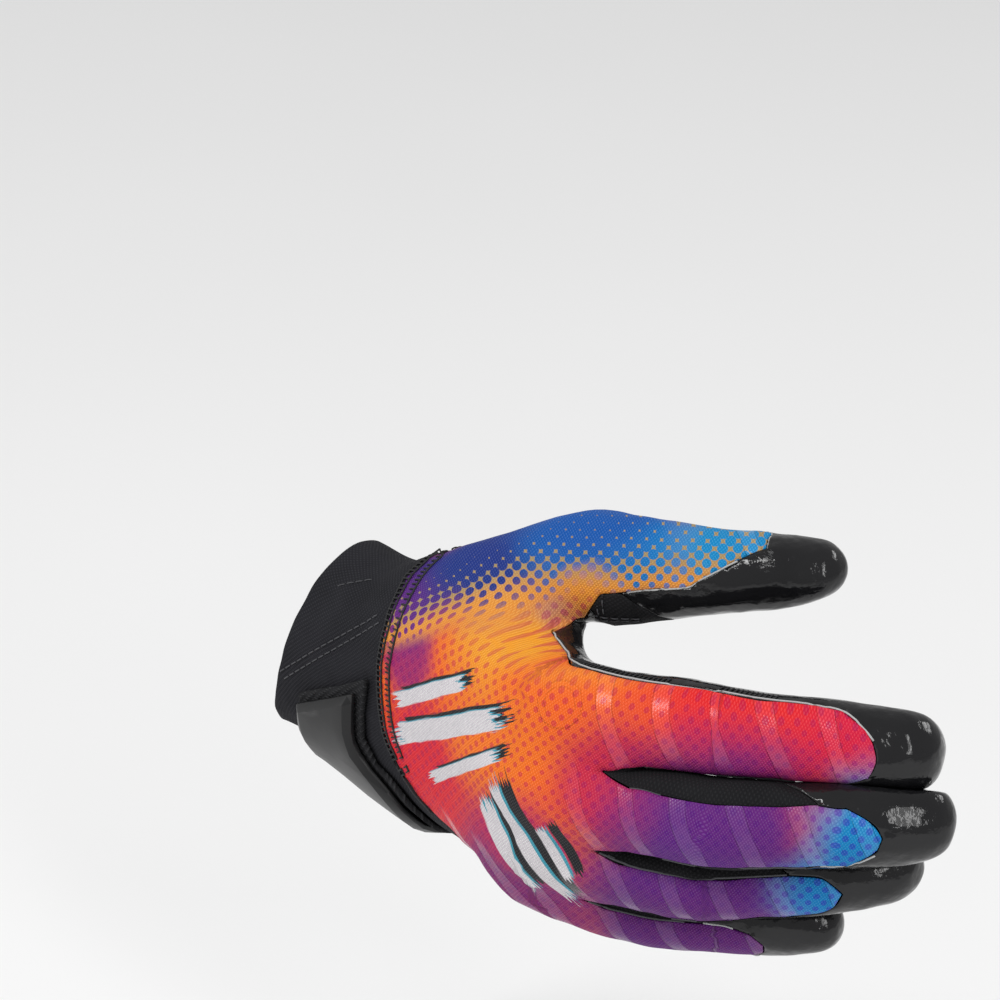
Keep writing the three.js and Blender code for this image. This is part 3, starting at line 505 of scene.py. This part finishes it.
# The firm pieces: the strap is smoothed once, and the tab has only its edges bevelled
FIRM = {
    "strap": dict(levels=1, sharp=25, largest=900, flat=9),
    "strap_tab": dict(levels=0, sharp=18, largest=900, flat=3),
}
cloth, rims = {}, {}
for node, name, material, slot, wrap in CLOTH:
    mesh, rims[node] = refined(node, **FIRM.get(node, {}))
    lay_flat(mesh, wrap)
    crumple(mesh)
    piece = new_piece(name, mesh, material, (node,))
    cloth[node] = piece


# The strip between the first two fingers is slack and fills the slit between them

def tree_of(piece):
    mesh = piece.data
    return BVHTree.FromPolygons([v.co for v in mesh.vertices], [p.vertices for p in mesh.polygons])


def fill_out(piece, others, amount, from_x, to_x):
    """Pushes a piece out, least where it lies on its neighbours."""
    walls = [tree_of(other) for other in others]
    moves = []
    for vertex in piece.data.vertices:
        near = min((tree.find_nearest(vertex.co)[3] or 1.0) for tree in walls)
        share = step(near, 0.0008, 0.0035) * step(vertex.co.x, from_x, to_x)
        moves.append(vertex.normal * (amount * share))
    for vertex, move in zip(piece.data.vertices, moves):
        vertex.co += move
    piece.data.update()


fill_out(cloth["fourchette_index_middle"], [cloth["back_panel"], cloth["palm_panel"]], 0.0011, 0.126, 0.136)


# Seams: threads laid along the rims of the pieces

# A line up the middle of the wrist and hand, to tell the outside from the inside
HAND_AXIS = [Vector((0, 0, 0)), Vector((0.054, 0.0075, -0.0015)), Vector((0.1, 0.006, -0.006))]
# The wrist's own directions, by which its seam is looked for
WRIST_START = Vector((0.29, -0.79, 0)) * MM
WRIST_FORWARD = Vector((0.976, 0.212, -0.055)).normalized()
WRIST_SIDE = Vector((0.054, 0.012, 0.9985)).normalized()
WRIST_UP = Vector((0.212, -0.9775, 0)).normalized()
# A line of thread is cut where its points are further apart than this
JUMP = 4 * MM

trees = {node: tree_of(piece) for node, piece in cloth.items()}


def chains(lines):
    """Joins short lines to long open or closed chains of points."""
    near = {}

    def key(p):
        return tuple(round(value * 2e5) for value in p)

    for a, b in lines:
        near.setdefault(key(a), [a, []])[1].append(b)
        near.setdefault(key(b), [b, []])[1].append(a)
    left, result = set(near), []
    while left:
        ends = [k for k in left if len(near[k][1]) == 1]
        start = min(ends) if ends else min(left)
        chain, at = [], start
        while at in left:
            left.discard(at)
            chain.append(near[at][0])
            onward = [key(p) for p in near[at][1] if key(p) in left]
            if not onward:
                break
            at = min(onward, key=lambda k: (near[k][0] - chain[-1]).length)
        if len(chain) > 3:
            if not ends or any(key(p) == start for p in near[at][1]):
                if len(chain) > 6 and (chain[0] - chain[-1]).length < 0.012:
                    chain.append(chain[0])
            result.append(chain)
    return result


def even(points, spacing, rounds=3):
    """Points a fixed step apart on the smoothed line."""
    smooth = list(points)
    for _ in range(rounds):
        smooth = [smooth[0]] + [
            (a + 2 * b + c) / 4 for a, b, c in zip(smooth, smooth[1:], smooth[2:])
        ] + [smooth[-1]]
    result, left = [smooth[0].copy()], spacing
    for a, b in zip(smooth, smooth[1:]):
        length = (b - a).length
        while length > 1e-9 and left <= length:
            result.append(a + (b - a) * (left / length))
            left += spacing
        left -= length
    return result


def rim_runs(lines, other, reach, keep):
    """The stretches of a rim that run along another piece within reach of it."""
    kept = []
    for chain in chains(lines):
        run = []
        for p in chain:
            hit = trees[other].find_nearest(p)
            beside = hit[0] is not None and (hit[0] - p).length < reach and keep(p)
            if not beside or (run and (p - run[-1]).length > 0.007):
                if len(run) > 4:
                    kept.append(run)
                run = []
            if beside:
                run.append(p)
        if len(run) > 4:
            kept.append(run)
    return kept


def is_outer(p, node):
    """True on the outer one of the two rims along a cut edge of the cloth."""
    axis = min(HAND_AXIS, key=lambda q: (q - p).length)
    away = (p - axis).normalized()
    ahead = trees[node].find_nearest(p + away * 0.0012)[0]
    behind = trees[node].find_nearest(p - away * 0.0012)[0]
    return (ahead - p - away * 0.0012).length > (behind - p + away * 0.0012).length


def add_tube(verts, faces, points, radius, sides=5):
    start = len(verts)
    count = len(points)
    for i, p in enumerate(points):
        ahead = (points[min(i + 1, count - 1)] - points[max(i - 1, 0)]).normalized()
        side = ahead.orthogonal().normalized()
        up = ahead.cross(side)
        for k in range(sides):
            turn = 2 * math.pi * k / sides
            verts.append(p + (side * math.cos(turn) + up * math.sin(turn)) * radius)
    for i in range(count - 1):
        for k in range(sides):
            a, b = start + i * sides + k, start + i * sides + (k + 1) % sides
            faces.append((a, b, b + sides, a + sides))
    faces.append(tuple(start + k for k in reversed(range(sides))))
    faces.append(tuple(start + (count - 1) * sides + k for k in range(sides)))


def straight_tube(verts, faces, a, b, radius, lift):
    """A stitch from a to b that is bowed outwards."""
    bow = [a - lift * 0.4, a + lift * 0.5, (a + b) / 2 + lift, b + lift * 0.5, b - lift * 0.4]
    add_tube(verts, faces, bow, radius)


def surface_at(p, names):
    best = None
    for name in names:
        hit = trees[name].find_nearest(p)
        if hit[0] is not None and (best is None or hit[3] < best[3]):
            best = hit
    return best


def finish_threads(name, verts, faces, material):
    if faces:
        mesh = bpy.data.meshes.new(name)
        mesh.from_pydata([tuple(v) for v in verts], [], faces)
        new_piece(name, mesh, material)


SEAM_NODES = ("cuff", "back_panel", "palm_panel")


def wrist_seam():
    """Points on the outside where the cuff gives way to the printed back, round the wrist."""
    runs, run = [], []
    for turn in range(-180, 181):
        sideways = math.radians(turn)
        away = WRIST_UP * math.cos(sideways) + WRIST_SIDE * math.sin(sideways)
        found = None
        for tenth in range(80, 620, 4):
            axis = WRIST_START + WRIST_FORWARD * tenth * 0.1 * MM
            origin = axis + away * 0.07
            hits = {name: trees[name].ray_cast(origin, -away, 0.07) for name in SEAM_NODES}
            near = [(hit[3], name) for name, hit in hits.items() if hit[0] is not None]
            if near and min(near)[1] != "cuff":
                if min(near)[1] == "back_panel":
                    hit = hits["back_panel"]
                    found = (hit[0], hit[1] if hit[1].dot(away) > 0 else -hit[1])
                break
        if found is None:
            continue
        if run and (found[0] - run[-1][0]).length > 0.010:
            if len(run) > 8:
                runs.append(run)
            run = []
        run.append(found)
    if len(run) > 8:
        runs.append(run)
    return runs


def overlock():
    """Ladder stitches along the seam between the cuff and the back, in two rows."""
    verts, faces = [], []
    for run in wrist_seam():
        points = even([p for p, _ in run], 0.00150, 9)
        rails = ([], [], [])
        for p, ahead in zip(points, points[1:]):
            normal = min(run, key=lambda row: (row[0] - p).length)[1]
            across = (ahead - p).normalized().cross(normal).normalized()
            if across.dot(WRIST_FORWARD) < 0:
                across = -across
            row = []
            for offset in (-1.1, 0.9, 3.0, 4.6):
                q = p + across * offset * MM
                near = [
                    trees[name].ray_cast(q + normal * 0.006, -normal, 0.012) for name in ("back_panel", "cuff")
                ]
                near = [hit for hit in near if hit[0] is not None]
                at = min(near, key=lambda hit: hit[3])[0] if near else q
                row.append(at + normal * 0.22 * MM)
            straight_tube(verts, faces, row[0], row[1], 0.27 * MM, normal * 0.25 * MM)
            straight_tube(verts, faces, row[2], row[3], 0.24 * MM, normal * 0.20 * MM)
            rails[0].append(row[0])
            rails[1].append(row[1])
            rails[2].append(row[3])
        for rail in rails:
            if len(rail) > 3:
                add_tube(verts, faces, rail, 0.27 * MM)
    finish_threads("overlock_threads", verts, faces, "black thread")


def edge_line(name, node, other, material, radius, lift, keep=lambda p: True):
    """A thin line along a rim, such as a white cut edge."""
    verts, faces = [], []
    for run in rim_runs(rims[node], other, 1.2 * MM, keep):
        line = []
        for p in even(run, 0.0011):
            hit = surface_at(p, [node])
            line.append(hit[0] + hit[1] * lift * MM)
        jumps = [i + 1 for i in range(len(line) - 1) if (line[i + 1] - line[i]).length > JUMP]
        breaks = [0, *jumps, len(line)]
        for a, b in zip(breaks, breaks[1:]):
            if b - a > 4:
                add_tube(verts, faces, line[a:b], radius * MM, 6)
    finish_threads(name, verts, faces, material)


overlock()
edge_line(
    "cut_edge_grip", "palm_panel", "back_panel", "cut edge", 0.26, 0.10,
    keep=lambda p: is_outer(p, "palm_panel") and p.x > 0.08,
)


STITCH, STITCH_PITCH, STITCH_RADIUS = 2.0, 2.7, 0.2


def stitch_line(verts, faces, node, start, end, shift=(0, 0, 0)):
    """Topstitches on a piece, on the straight way between two places in mm."""
    a, b = (Vector(p) + Vector(shift) for p in (start, end))
    length = (b - a).length
    for i in range(int(length / STITCH_PITCH)):
        ends = []
        for share, lift in ((0, 0.12), (0.5, 0.24), (1, 0.12)):
            t = i * STITCH_PITCH + STITCH * share
            hit = trees[node].find_nearest((a + (b - a) * (t / length)) * MM)
            ends.append(hit[0] + hit[1] * lift * MM)
        add_tube(verts, faces, ends, STITCH_RADIUS * MM)


verts, faces = [], []
stitch_line(verts, faces, "cuff", (8.1, -19.5, -6.3), (42.2, -9.9, 22.6))
stitch_line(verts, faces, "cuff", (8.1, -19.5, -6.3), (42.2, -9.9, 22.6), (-1.6, 0, 1.6))
stitch_line(verts, faces, "cuff", (6.0, -15.5, 12), (26, -4, 28))
for row in (0.0, 1.9):
    stitch_line(verts, faces, "thumb_patch", (84 + row, 26, 39.5), (84 + row, 27, 30))
    stitch_line(verts, faces, "thumb_patch", (82, 25.5, 29.5 + row), (92, 36, 29.5 + row))
finish_threads("topstitches", verts, faces, "grey thread")


def overcast(node, other, keep):
    """Short slanted stitches along a seam."""
    verts, faces = [], []
    for run in rim_runs(rims[node], other, 1.5 * MM, keep):
        points = even(run, 0.00125)
        for p, ahead in zip(points, points[1:]):
            if (ahead - p).length > JUMP:
                continue
            hit = trees[node].find_nearest(p)
            along = (ahead - p).normalized()
            across = along.cross(hit[1]).normalized()
            if across.z < 0:
                across = -across
            a, b = p + across * 0.5 * MM, p + across * 2.3 * MM + along * 0.8 * MM
            a, b = (trees[node].find_nearest(q) for q in (a, b))
            a, normal, b = a[0] + a[1] * 0.1 * MM, b[1], b[0] + b[1] * 0.1 * MM
            straight_tube(verts, faces, a, b, 0.22 * MM, normal * 0.22 * MM)
    finish_threads("overcast_" + node, verts, faces, "black thread")


def beside_index(p):
    """True on the thumb side of the index finger, short of its end."""
    return is_outer(p, "palm_panel") and p.z > 0.024 and 0.098 < p.x < 0.152 and p.y < 0.038


overcast("palm_panel", "back_panel", beside_index)
for node in ("fourchette_index_middle", "fourchette_middle_ring", "fourchette_ring_little"):
    edge_line("seam_" + node, node, "back_panel", "grey thread", 0.30, 0.08)


# The floor, so wide that its edge stays out of sight

FLOOR_REACH, FLOOR_HEIGHT = 40, -0.16
corners = [(x * FLOOR_REACH, y * FLOOR_REACH, FLOOR_HEIGHT) for x, y in ((-1, -1), (1, -1), (1, 1), (-1, 1))]
floor_mesh = bpy.data.meshes.new("floor")
floor_mesh.from_pydata(corners, [], [(0, 1, 2, 3)])
floor = bpy.data.objects.new("floor", floor_mesh)
bpy.context.scene.collection.objects.link(floor)
g = Graph("pale_floor", Roughness=0.9)
g.set("Base Color", g.mix(g.noise(g.place(), 3.0), (0.86, 0.86, 0.86), (0.9, 0.9, 0.9)))
floor_mesh.materials.append(g.material)


# Camera and light. The camera looks at a point in the wrist, and its shift puts
# that point where it lies in the picture.

AZIMUTH, ELEVATION, ROLL = math.radians(57.6), math.radians(25), math.radians(1.47)
DISTANCE = 1.3
MM_PER_PIXEL = 0.265
WRIST_POINT = Vector((12.768, 2.288, -5.72)) * MM
OBJECT_MIDDLE = Vector((87, 28, 4)) * MM
WRIST_PIXEL = (364.2, 666.1)
PIXELS, SENSOR = 1000, 36


def turned(right, up, angle):
    c, s = math.cos(angle), math.sin(angle)
    return right * c + up * s, up * c - right * s


def look(origin, target, roll):
    back = (origin - target).normalized()
    right = Vector((0, 0, 1)).cross(back).normalized()
    right, up = turned(right, back.cross(right), roll)
    rotation = Matrix((right, up, back)).transposed()
    return Matrix.Translation(origin) @ rotation.to_4x4()


away = Vector((
    math.sin(AZIMUTH) * math.cos(ELEVATION), -math.cos(AZIMUTH) * math.cos(ELEVATION), math.sin(ELEVATION),
))
camera_data = bpy.data.cameras.new("camera")
camera_data.sensor_width = SENSOR
camera_data.lens = SENSOR * (DISTANCE / MM) / MM_PER_PIXEL / PIXELS
camera_data.shift_x = (PIXELS / 2 - WRIST_PIXEL[0]) / PIXELS
camera_data.shift_y = (WRIST_PIXEL[1] - PIXELS / 2) / PIXELS
camera = bpy.data.objects.new("camera", camera_data)
camera.matrix_world = look(WRIST_POINT + away * DISTANCE, WRIST_POINT, ROLL)
bpy.context.scene.collection.objects.link(camera)
bpy.context.scene.camera = camera


def area_light(name, position, target, size, power):
    data = bpy.data.lights.new(name, "AREA")
    data.shape = "RECTANGLE"
    data.size, data.size_y = size
    data.energy = power
    light = bpy.data.objects.new(name, data)
    light.matrix_world = look(Vector(position), Vector(target), 0)
    bpy.context.scene.collection.objects.link(light)


centre = tuple(OBJECT_MIDDLE)
area_light("key", (0.2, -1.3, 2.1), centre, (0.9, 0.6), 27)
area_light("side", (1.6, -0.2, 0.9), centre, (0.25, 1.1), 7)
area_light("fill", (-0.9, -1.3, 0.4), centre, (0.6, 0.8), 4)
area_light("rim", (0.4, 1.2, 1.0), centre, (0.8, 0.3), 5)

world = bpy.data.worlds.new("studio")
world.use_nodes = True
world.node_tree.nodes["Background"].inputs[0].default_value = (1, 1, 1, 1)
world.node_tree.nodes["Background"].inputs[1].default_value = 0.5
bpy.context.scene.world = world
bpy.context.scene.view_settings.view_transform = "Standard"
